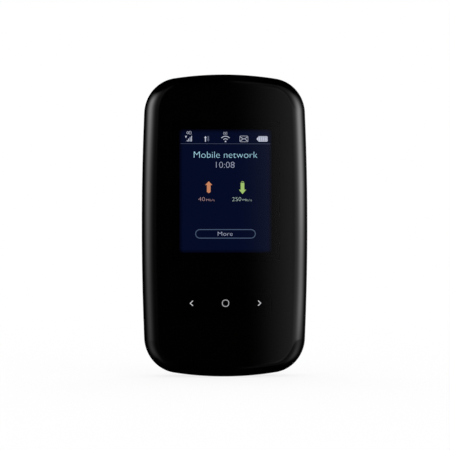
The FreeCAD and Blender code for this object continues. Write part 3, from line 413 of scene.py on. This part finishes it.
# ============================================================================
# Shells that follow the outline
# ============================================================================

def corner_centre():
    """Centre of the upper right corner arc, from the middle of the body."""
    side_x = HALF_WIDTH - SIDE_RADIUS
    end_z = HALF_HEIGHT - END_RADIUS
    to_side = SIDE_RADIUS - CORNER_RADIUS
    to_end = END_RADIUS - CORNER_RADIUS
    span = math.hypot(side_x, end_z)
    along = (to_side ** 2 - to_end ** 2 + span ** 2) / (2 * span)
    across = math.sqrt(to_side ** 2 - along ** 2)
    ux, uz = -side_x / span, end_z / span
    return side_x + along * ux - across * uz, along * uz + across * ux


def quarter_stations():
    """Points of the upper right quarter: x, z, outward normal, and 0 on a side to 1 on an end."""
    cx, cz = corner_centre()
    side_x = HALF_WIDTH - SIDE_RADIUS
    end_z = HALF_HEIGHT - END_RADIUS
    side_angle = math.atan2(cz, cx - side_x)
    end_angle = math.atan2(cz - end_z, cx)
    arcs = ((side_x, 0.0, SIDE_RADIUS, 0.0, side_angle, 14, 0, 0),
            (cx, cz, CORNER_RADIUS, side_angle, end_angle, 40, 0, 1),
            (0.0, end_z, END_RADIUS, end_angle, math.pi / 2, 12, 1, 1))
    stations = []
    for x0, z0, radius, start, stop, steps, share0, share1 in arcs:
        for step in range(steps):
            t = step / steps
            angle = start + (stop - start) * t
            ease = t * t * (3 - 2 * t)
            nx, nz = math.cos(angle), math.sin(angle)
            stations.append((x0 + radius * nx, z0 + radius * nz, nx, nz,
                             share0 + (share1 - share0) * ease))
    stations.append((0.0, HALF_HEIGHT, 0.0, 1.0, 1.0))
    return stations


def outline_stations():
    """All the way round, anticlockwise seen from the front with X to the right."""
    quarter = quarter_stations()
    top_left = [(-x, z, -nx, nz, share) for x, z, nx, nz, share in reversed(quarter[:-1])]
    half = quarter + top_left
    bottom = [(x, -z, nx, -nz, share) for x, z, nx, nz, share in reversed(half[1:-1])]
    return half + bottom


def arc_points(centre, radius, start, stop, steps):
    """Points on an arc, as (inset, depth) pairs."""
    points = []
    for step in range(steps + 1):
        angle = start + (stop - start) * step / steps
        points.append((centre[0] + radius * math.cos(angle), centre[1] + radius * math.sin(angle)))
    return points


def tray_section(roll, wall, rim_depth):
    """A tray's section from the middle of its outer face, over the rim, to its inner face.

    Each point is (inset from the outline, depth below the outer face)."""
    quarter = math.pi / 2
    outer = arc_points((roll, roll), roll, -quarter, -2 * quarter, 18)
    break_out = arc_points((EDGE_BREAK, rim_depth - EDGE_BREAK), EDGE_BREAK, 2 * quarter, quarter, 4)
    break_in = arc_points((wall - EDGE_BREAK, rim_depth - EDGE_BREAK), EDGE_BREAK, quarter, 0, 4)
    inner = arc_points((roll, roll), roll - wall, -2 * quarter, -quarter, 12)
    return outer + break_out + break_in + inner


def cap(mesh, ring, shares):
    """Close a ring with smaller and smaller rings and a middle point."""
    middle = Vector((0, ring[0].co.y, MIDDLE_Z))
    outer = ring
    for share in shares:
        inner = [mesh.verts.new(middle + (vertex.co - middle) * share) for vertex in ring]
        join_rings(mesh, outer, inner)
        outer = inner
    tip = mesh.verts.new(middle)
    for index, vertex in enumerate(outer):
        mesh.faces.new((vertex, outer[(index + 1) % len(outer)], tip))


def join_rings(mesh, first, second):
    """Quads between two closed rings."""
    count = len(first)
    for index in range(count):
        after = (index + 1) % count
        mesh.faces.new((first[index], first[after], second[after], second[index]))


def new_object(name, mesh_data, material):
    """A mesh object in the scene with one material."""
    piece = bpy.data.objects.new(name, mesh_data)
    bpy.context.scene.collection.objects.link(piece)
    mesh_data.materials.append(material)
    return piece


def object_from_bmesh(name, mesh, material, smooth=True):
    """Turn a bmesh into a finished object with outward normals."""
    bmesh.ops.recalc_face_normals(mesh, faces=mesh.faces)
    data = bpy.data.meshes.new(name)
    mesh.to_mesh(data)
    mesh.free()
    for polygon in data.polygons:
        polygon.use_smooth = smooth
    return new_object(name, data, material)


def tray(name, outer_y, direction, wall, rim_y, rolls, material):
    """A shell with a rolled edge.  Direction is +1 where its depth runs along +Y.

    Rolls are the radii of the rolled edge along the sides and along the ends."""
    side_roll, end_roll = rolls
    rim_depth = abs(rim_y - outer_y)
    mesh = bmesh.new()
    rings = []
    for x, z, nx, nz, share in outline_stations():
        roll = side_roll + (end_roll - side_roll) * share
        section = tray_section(roll, wall, rim_depth)
        column = []
        for inset, depth in section:
            place_at = Vector((x - nx * inset, outer_y + direction * depth, MIDDLE_Z + z - nz * inset))
            column.append(mesh.verts.new(place_at))
        rings.append(column)
    loops = list(zip(*rings))
    for first, second in zip(loops, loops[1:]):
        join_rings(mesh, first, second)
    for loop in (loops[0], loops[-1]):
        cap(mesh, list(loop), (0.99, 0.75, 0.4))
    return object_from_bmesh(name, mesh, material)


# ============================================================================
# The picture on the display
# ============================================================================

# Shapes of the picture are given in millimetres from the middle of the window,
# x to the right and z up.

def flat_piece(name, curve_data, material):
    """Make a filled curve into a thin mesh that faces the front, and fix it to the housing."""
    holder = bpy.data.objects.new(name + "_curve", curve_data)
    bpy.context.scene.collection.objects.link(holder)
    bpy.context.view_layer.update()
    graph = bpy.context.evaluated_depsgraph_get()
    data = bpy.data.meshes.new_from_object(holder.evaluated_get(graph))
    bpy.data.objects.remove(holder)
    bpy.data.curves.remove(curve_data)
    data.transform(Matrix.Rotation(math.pi / 2, 4, "X"))
    data.transform(Matrix.Translation((0, PICTURE_Y, 0)))
    data.materials.clear()
    data.name = name
    piece = new_object(name, data, material)
    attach(piece, "housing")
    return piece


def filled(name, loops, material):
    """A flat shape from closed loops of (x, z) points; a loop inside another is a hole."""
    curve = bpy.data.curves.new(name, "CURVE")
    curve.dimensions = "2D"
    curve.fill_mode = "BOTH"
    curve.extrude = PICTURE_THICKNESS / 2
    for loop in loops:
        spline = curve.splines.new("POLY")
        spline.points.add(len(loop) - 1)
        for point, (x, z) in zip(spline.points, loop):
            point.co = (x * MM, TOP - DOWN / 2 + z * MM, 0, 1)
        spline.use_cyclic_u = True
    return flat_piece(name, curve, material)


def words(name, text, x, base_z, height, width, material, thinner=0.022):
    """A line of lettering: its middle x, the z it stands on, its tallest letter and its width.

    Thinner is what is taken off the strokes' edges, as a share of the letter size."""
    curve = bpy.data.curves.new(name, "FONT")
    curve.body = text
    curve.extrude = PICTURE_THICKNESS / 2
    curve.resolution_u = 6
    curve.offset = -thinner
    piece = flat_piece(name, curve, material)
    xs = [vertex.co.x for vertex in piece.data.vertices]
    zs = [vertex.co.z for vertex in piece.data.vertices]
    scale_x = width * MM / (max(xs) - min(xs))
    scale_z = height * MM / max(zs)
    middle_x = (max(xs) + min(xs)) / 2
    for vertex in piece.data.vertices:
        vertex.co.x = x * MM + (vertex.co.x - middle_x) * scale_x
        vertex.co.z = TOP - DOWN / 2 + base_z * MM + vertex.co.z * scale_z
    return piece


def box_loop(x, z, width, height):
    """A rectangle centred on (x, z)."""
    return [(x - width / 2, z - height / 2), (x + width / 2, z - height / 2),
            (x + width / 2, z + height / 2), (x - width / 2, z + height / 2)]


def round_box_loop(x, z, width, height, radius, steps=8):
    """A rectangle with round corners, centred on (x, z)."""
    loop = []
    for corner, (sx, sz) in enumerate(((1, 1), (-1, 1), (-1, -1), (1, -1))):
        cx = x + sx * (width / 2 - radius)
        cz = z + sz * (height / 2 - radius)
        for step in range(steps + 1):
            angle = (corner + step / steps) * math.pi / 2
            loop.append((cx + radius * math.cos(angle), cz + radius * math.sin(angle)))
    return loop


def frame_loops(x, z, width, height, radius, line):
    """A rounded rectangle's outline, line thick: its outer and inner loop."""
    return [round_box_loop(x, z, width, height, radius),
            round_box_loop(x, z, width - 2 * line, height - 2 * line, radius - line)]


def fan_loop(x, z, inner, outer, spread, steps=14):
    """A slice of a ring, opening upwards, with its centre at (x, z)."""
    start = math.pi / 2 - spread / 2
    angles = [start + spread * step / steps for step in range(steps + 1)]
    out = [(x + outer * math.cos(angle), z + outer * math.sin(angle)) for angle in angles]
    back = [(x + inner * math.cos(angle), z + inner * math.sin(angle))
            for angle in reversed(angles)]
    return out + back


def bent_bar(x, z, half_width, rise, line):
    """A shallow V pointing up when rise is positive, line thick, with its tip at (x, z)."""
    return [(x, z), (x + half_width, z - rise), (x + half_width, z - rise - line),
            (x, z - line), (x - half_width, z - rise - line), (x - half_width, z - rise)]


def arrow_loop(x, low_z, high_z, head_width, head_height, stem_width, up):
    """A block arrow between two heights."""
    tip, tail = (high_z, low_z) if up else (low_z, high_z)
    neck = tip - head_height if up else tip + head_height
    half_head, half_stem = head_width / 2, stem_width / 2
    return [(x, tip), (x + half_head, neck), (x + half_stem, neck), (x + half_stem, tail),
            (x - half_stem, tail), (x - half_stem, neck), (x - half_head, neck)]


# Height of the middle of the row of status icons.
STATUS_Z = 20.72


def signal_icon(white):
    """Four rising bars, a mast and two small marks above."""
    first_x, base_z, pitch, bar_width = -15.15, 19.65, 0.56, 0.26
    bars = []
    for index in range(4):
        rise = 0.55 * (index + 1)
        bars.append(box_loop(first_x + index * pitch, base_z + rise / 2, bar_width, rise))
    mast = [(-16.02, 21.85), (-15.32, 21.85), (-15.67, 20.9)]
    mark_z, mark_width = 23.1, 0.85
    marks = frame_loops(-14.98, mark_z, mark_width, 0.9, 0.3, 0.13)
    marks += frame_loops(-13.98, mark_z, mark_width, 1.3, 0.35, 0.11)
    filled("ui_signal", bars + [mast] + marks, white)


def data_icon(white, dim):
    """Two thin arrows, up and down.  The one that points down is dim."""
    low_z, high_z = 19.6, 21.8
    filled("ui_data_up", [arrow_loop(-7.95, low_z, high_z, 0.95, 0.7, 0.36, True)], white)
    filled("ui_data_down", [arrow_loop(-6.85, low_z, high_z, 1.1, 0.8, 0.62, False)], dim)


def radio_icon(white):
    """Two arcs over a dot, with two small marks above."""
    base_z, spread, dot = 19.7, math.radians(100), 0.54
    loops = [fan_loop(0.0, base_z, 1.94, 2.19, spread), fan_loop(0.0, base_z, 0.94, 1.18, spread),
             round_box_loop(0.0, base_z, dot, dot, 0.25)]
    marks_x, mark_z = -0.09, 22.9
    for side in (-1, 1):
        loops += frame_loops(marks_x + side * 0.42, mark_z, 0.66, 0.95, 0.25, 0.09)
    filled("ui_radio", loops, white)


def mail_icon(white):
    """An envelope with its folds meeting in the middle."""
    x, width, height, line = 7.3, 3.36, 2.4, 0.12
    fold_outer, fold_inner = 1.42, 0.5
    loops = frame_loops(x, STATUS_Z, width, height, 0.4, line)
    loops.append(box_loop(x, STATUS_Z, 0.9, 0.24))
    for side in (-1, 1):
        for rise in (-1, 1):
            loops.append([(x + side * fold_outer, STATUS_Z + rise * 0.92),
                          (x + side * fold_outer, STATUS_Z + rise * 0.66),
                          (x + side * fold_inner, STATUS_Z + rise * 0.02),
                          (x + side * fold_inner, STATUS_Z + rise * 0.26)])
    filled("ui_mail", loops, white)


def battery_icon(white):
    """A charged battery with its pole on the left."""
    x, width, height = 14.85, 3.75, 2.15
    loops = frame_loops(x, STATUS_Z, width, height, 0.4, 0.22)
    pole_x, pole_length = x - width / 2 - 0.03, 0.5
    loops.append([(pole_x, STATUS_Z + 0.7), (pole_x - pole_length, STATUS_Z + 0.3),
                  (pole_x - pole_length, STATUS_Z - 0.3), (pole_x, STATUS_Z - 0.7)])
    pitch, bar_width, bar_height = 0.81, 0.64, height - 0.62
    for index in range(4):
        loops.append(box_loop(x + (index - 1.5) * pitch, STATUS_Z, bar_width, bar_height))
    filled("ui_battery", loops, white)


def data_rates(orange, pink, green, pale_green):
    """The sending and receiving arrows with their rates."""
    send_x, receive_x = -6.65, 6.75
    send = arrow_loop(send_x, -0.3, 3.9, 2.8, 1.5, 1.45, True)
    send_tail = bent_bar(send_x, -0.62, 0.55, -0.36, 0.2)
    filled("ui_send_arrow", [send, send_tail], orange)
    receive = arrow_loop(receive_x, -1.15, 3.3, 2.85, 1.75, 1.45, False)
    receive_tail = bent_bar(receive_x, 3.95, 0.62, 0.34, 0.22)
    filled("ui_receive_arrow", [receive, receive_tail], green)
    base_z, rate_height, unit_height = -3.95, 1.55, 0.85
    words("ui_send_rate", "40", -9.48, base_z, rate_height, 2.65, pink)
    words("ui_send_unit", "Mb/s", -6.0, base_z, unit_height, 3.3, pink, 0.015)
    words("ui_receive_rate", "250", 4.45, base_z, rate_height, 3.55, pale_green)
    words("ui_receive_unit", "Mb/s", 8.6, base_z, unit_height, 3.6, pale_green)


def draw_picture():
    """All the lit elements of the picture."""
    white = glowing("ui_white", (0.58, 0.61, 0.74))
    clock_white = glowing("ui_clock_white", (0.40, 0.43, 0.58))
    teal = glowing("ui_teal", (0.43, 0.76, 0.92))
    orange = glowing("ui_orange", (0.60, 0.24, 0.12))
    pink = glowing("ui_pink", (0.46, 0.28, 0.30))
    green = glowing("ui_green", (0.36, 0.55, 0.16))
    pale_green = glowing("ui_pale_green", (0.49, 0.63, 0.57))
    slate = glowing("ui_slate", (0.065, 0.100, 0.170))
    dim = glowing("ui_dim", (0.085, 0.100, 0.160))
    filled("ui_rule", [box_loop(0.0, 18.78, 35.6, 0.11)], dim)
    signal_icon(white)
    data_icon(white, dim)
    radio_icon(white)
    mail_icon(white)
    battery_icon(white)
    words("ui_title", "Mobile network", 0.05, 13.15, 2.5, 25.2, teal, 0.0205)
    words("ui_clock", "10:08", -0.1, 9.2, 2.4, 7.3, clock_white)
    data_rates(orange, pink, green, pale_green)
    filled("ui_button_outline", frame_loops(0.0, -16.93, 24.0, 3.7, 1.85, 0.32), slate)
    words("ui_button_words", "More", -0.1, -17.7, 1.6, 5.9, clock_white, 0.016)


# ============================================================================
# Stage, light and camera
# ============================================================================

# Lights seen only in reflections.  Their azimuth is in degrees from straight ahead
# of the glossy face, positive to the right, and their height is in degrees above
# the horizon.  The middle of the flat face mirrors azimuth CAMERA_TURN.
CAMERA_TURN = 3.5
LEFT_STRIP = -74.5
RIGHT_STRIP = 66.0
STRIP_WIDTH = 17.0
PANEL_START = CAMERA_TURN + 0.08

# Strength of the even light that falls on everything but mirrors.
AMBIENT = 0.9


def reflected_direction(tree):
    """Azimuth and height, in degrees, of the direction that the world is looked up in."""
    direction = add_node(tree, "ShaderNodeTexCoord").outputs["Generated"]
    x, y, z = add_node(tree, "ShaderNodeSeparateXYZ", {0: direction}).outputs
    azimuth = maths(tree, "ARCTAN2", x, maths(tree, "MULTIPLY", y, -1.0))
    elevation = maths(tree, "ARCSINE", z)
    degree = math.pi / 180
    return maths(tree, "DIVIDE", azimuth, degree), maths(tree, "DIVIDE", elevation, degree)


def left_light(tree, azimuth, height):
    """A tall soft strip that is brighter towards its top, with a faint glow beside it."""
    held = maths(tree, "MINIMUM", maths(tree, "MAXIMUM", height, -8.0), 5.6)
    level = maths(tree, "EXPONENT", maths(tree, "MULTIPLY", held, 0.145))
    glow = product(tree, smooth_step(tree, azimuth, -1.0, -8.0),
                   smooth_step(tree, azimuth, -60.0, -40.0), 0.055)
    strip = maths(tree, "MULTIPLY", bell(tree, azimuth, LEFT_STRIP, STRIP_WIDTH), 1.94)
    return product(tree, total(tree, strip, glow), level,
                   smooth_step(tree, height, -42.0, -20.0),
                   smooth_step(tree, height, 40.0, 18.0))


def right_light(tree, azimuth, height):
    """A tall soft strip that weakens towards its foot."""
    level = map_range(tree, smooth_step(tree, height, -2.2, 2.6), 3.0, 5.2)
    foot = map_range(tree, smooth_step(tree, height, -6.8, -3.4), 0.20, 1.0)
    return product(tree, bell(tree, azimuth, RIGHT_STRIP, STRIP_WIDTH), level, foot,
                   smooth_step(tree, height, -44.0, -22.0),
                   smooth_step(tree, height, 36.0, 2.0))


def rear_glow(tree, azimuth, height):
    """A wide weak light behind the device, on its right."""
    return product(tree, smooth_step(tree, azimuth, 125.0, 150.0), 0.18,
                   smooth_step(tree, height, 30.0, 15.0),
                   smooth_step(tree, height, -30.0, -15.0))


def panel_light(tree, azimuth, height):
    """A wide panel whose left edge makes the gradient on the flat of the face.

    The edge leans to the right towards its foot."""
    soft_edge = 1.8
    lean = product(tree, smooth_step(tree, height, 4.5, -5.0), 0.56)
    near = maths(tree, "SUBTRACT", azimuth, PANEL_START)
    start = maths(tree, "DIVIDE", maths(tree, "SUBTRACT", near, lean),
                  maths(tree, "SUBTRACT", soft_edge, lean))
    ramp = maths(tree, "MAXIMUM", maths(tree, "MINIMUM", start, 1.0), 0.0)
    rise = maths(tree, "MULTIPLY", maths(tree, "POWER", ramp, 1.8), 0.31)
    wide = maths(tree, "MULTIPLY", smooth_step(tree, near, soft_edge, 16.0), 0.19)
    return product(tree, total(tree, rise, wide), smooth_step(tree, near, 75.0, 45.0),
                   map_range(tree, smooth_step(tree, height, 8.0, 4.6), 0.33, 1.0),
                   map_range(tree, smooth_step(tree, height, -8.4, -5.0), 0.22, 1.0),
                   smooth_step(tree, height, -36.0, -22.0),
                   smooth_step(tree, height, 44.0, 34.0))


def low_glint(tree, azimuth, height, side):
    """A small light below the horizon for the lower corner on one side."""
    return product(tree, bell(tree, azimuth, side * 52.0, 13.0),
                   bell(tree, height, -30.0, 9.0), 0.16)


def studio_world():
    """White surroundings for the camera, shaped light for reflections, even light for the rest."""
    world = bpy.data.worlds.new("studio")
    bpy.context.scene.world = world
    world.use_nodes = True
    world.cycles.sampling_method = "NONE"
    tree = world.node_tree
    tree.nodes.clear()
    azimuth, height = reflected_direction(tree)
    reflected = total(tree, left_light(tree, azimuth, height), right_light(tree, azimuth, height),
                      rear_glow(tree, azimuth, height), panel_light(tree, azimuth, height),
                      low_glint(tree, azimuth, height, -1), low_glint(tree, azimuth, height, 1))
    rays = add_node(tree, "ShaderNodeLightPath")
    camera_ray = rays.outputs["Is Camera Ray"]
    glossy_ray = rays.outputs["Is Glossy Ray"]
    seen = maths(tree, "MULTIPLY", glossy_ray, maths(tree, "SUBTRACT", reflected, AMBIENT))
    unseen = maths(tree, "ADD", seen, AMBIENT)
    other = maths(tree, "MULTIPLY", maths(tree, "SUBTRACT", 1.0, camera_ray), unseen)
    strength = maths(tree, "ADD", other, camera_ray)
    background = add_node(tree, "ShaderNodeBackground",
                          {"Color": (1, 1, 1, 1), "Strength": strength})
    output = tree.nodes.new("ShaderNodeOutputWorld")
    tree.links.new(background.outputs[0], output.inputs["Surface"])


def floor_material(fade_start, fade_end):
    """Pale floor that melts into the white surroundings and leaves reflections dark."""
    material, tree, output = blank_material("pale_floor")
    where = add_node(tree, "ShaderNodeTexCoord").outputs["Object"]
    distance = add_node(tree, "ShaderNodeVectorMath", {0: where}, operation="LENGTH")
    near = smooth_step(tree, distance.outputs["Value"], fade_end, fade_start)
    glossy = add_node(tree, "ShaderNodeLightPath").outputs["Is Glossy Ray"]
    present = maths(tree, "MULTIPLY", near, maths(tree, "SUBTRACT", 1.0, glossy))
    paper = add_node(tree, "ShaderNodeBsdfDiffuse", {
        "Color": tinted(tree, (0.22, 0.22, 0.22), 0.01, noise(tree, 30 * MM))})
    lift = add_node(tree, "ShaderNodeEmission", {"Color": (1, 1, 1, 1), "Strength": 0.80})
    lit = add_node(tree, "ShaderNodeAddShader", {0: paper.outputs[0], 1: lift.outputs[0]})
    clear = add_node(tree, "ShaderNodeBsdfTransparent")
    mixed = add_node(tree, "ShaderNodeMixShader", {0: present, 1: clear.outputs[0],
                                                   2: lit.outputs[0]})
    tree.links.new(mixed.outputs[0], output.inputs["Surface"])
    return material


def pale_floor():
    """A disc under the device."""
    radius = 5 * (CAD_HIGH.z - CAD_LOW.z)
    mesh = bmesh.new()
    bmesh.ops.create_circle(mesh, cap_ends=True, radius=radius, segments=96)
    floor = object_from_bmesh("pale_floor", mesh, floor_material(radius * 0.4, radius * 0.95), False)
    floor.location.z = CAD_LOW.z


def rear_lights():
    """Soft boxes behind the device.  They light neither the floor nor the glossy front."""
    lit = bpy.data.collections.new("lit_from_behind")
    for name, node in frame["nodes"].items():
        if name != "front_lens":
            lit.objects.link(node)
    centre = Vector((0, 0, MIDDLE_Z))
    for name, offset, size, power in (("rear_left_light", (-0.50, 0.62, 0.50), 0.45, 26.0),
                                      ("rear_right_light", (0.62, 0.45, 0.10), 0.35, 9.0)):
        data = bpy.data.lights.new(name, "AREA")
        data.size = size
        data.energy = power
        light = bpy.data.objects.new(name, data)
        bpy.context.scene.collection.objects.link(light)
        light.location = centre + Vector(offset)
        light.rotation_euler = (-Vector(offset)).to_track_quat("-Z", "Y").to_euler()
        light.visible_camera = False
        light.light_linking.receiver_collection = lit


CAMERA_DISTANCE = 0.8
PICTURE_WIDTH_IN_BODIES = 2.7232
SENSOR_WIDTH = 36.0
AIM = 0.18 * MM


def front_camera():
    """Level with the middle of the device, in front of it and a little to its left.

    It aims a hair to the right of the middle and above it."""
    picture_width = (CAD_HIGH.x - CAD_LOW.x) * PICTURE_WIDTH_IN_BODIES
    data = bpy.data.cameras.new("front_camera")
    data.sensor_width = SENSOR_WIDTH
    data.lens = SENSOR_WIDTH * CAMERA_DISTANCE / picture_width
    camera = bpy.data.objects.new("front_camera", data)
    bpy.context.scene.collection.objects.link(camera)
    turn = math.radians(-CAMERA_TURN)
    camera.location = (AIM + CAMERA_DISTANCE * math.sin(turn),
                       -CAMERA_DISTANCE * math.cos(turn), MIDDLE_Z + AIM)
    camera.rotation_euler = (math.pi / 2, 0, turn)
    bpy.context.scene.camera = camera


# ============================================================================
# The scene
# ============================================================================

def build_front(materials):
    """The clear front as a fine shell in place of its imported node."""
    lens = tray("front_lens_shell", FRONT_Y, 1, LENS_WALL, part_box("front_lens")[1].y,
                (LENS_SIDE_ROLL, LENS_END_ROLL), materials["lens_clear"])
    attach(lens, "housing")
    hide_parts("front_lens")


def shade_cover(materials):
    """Give the rear cover the even shading of a fine shell of the same form.

    The shell isn't part of the scene.  Only its surface directions are used."""
    cover = frame["nodes"]["rear_cover"]
    guide = tray("rear_cover_guide", REAR_Y, -1, COVER_WALL, COVER_RIM_Y,
                 (COVER_ROLL, COVER_ROLL), materials["cover_black"])
    bpy.context.scene.collection.objects.unlink(guide)
    shading = cover.modifiers.new("guide_shading", "DATA_TRANSFER")
    shading.object = guide
    shading.use_object_transform = False
    shading.use_loop_data = True
    shading.data_types_loops = {"CUSTOM_NORMAL"}
    shading.loop_mapping = "POLYINTERP_NEAREST"
    shading.use_max_distance = True
    shading.max_distance = 0.06 * MM


bpy.context.scene.view_settings.view_transform = "Standard"
slots = slot_materials()
dress_frame(slots)
build_front(slots)
shade_cover(slots)
draw_picture()
studio_world()
rear_lights()
pale_floor()
front_camera()
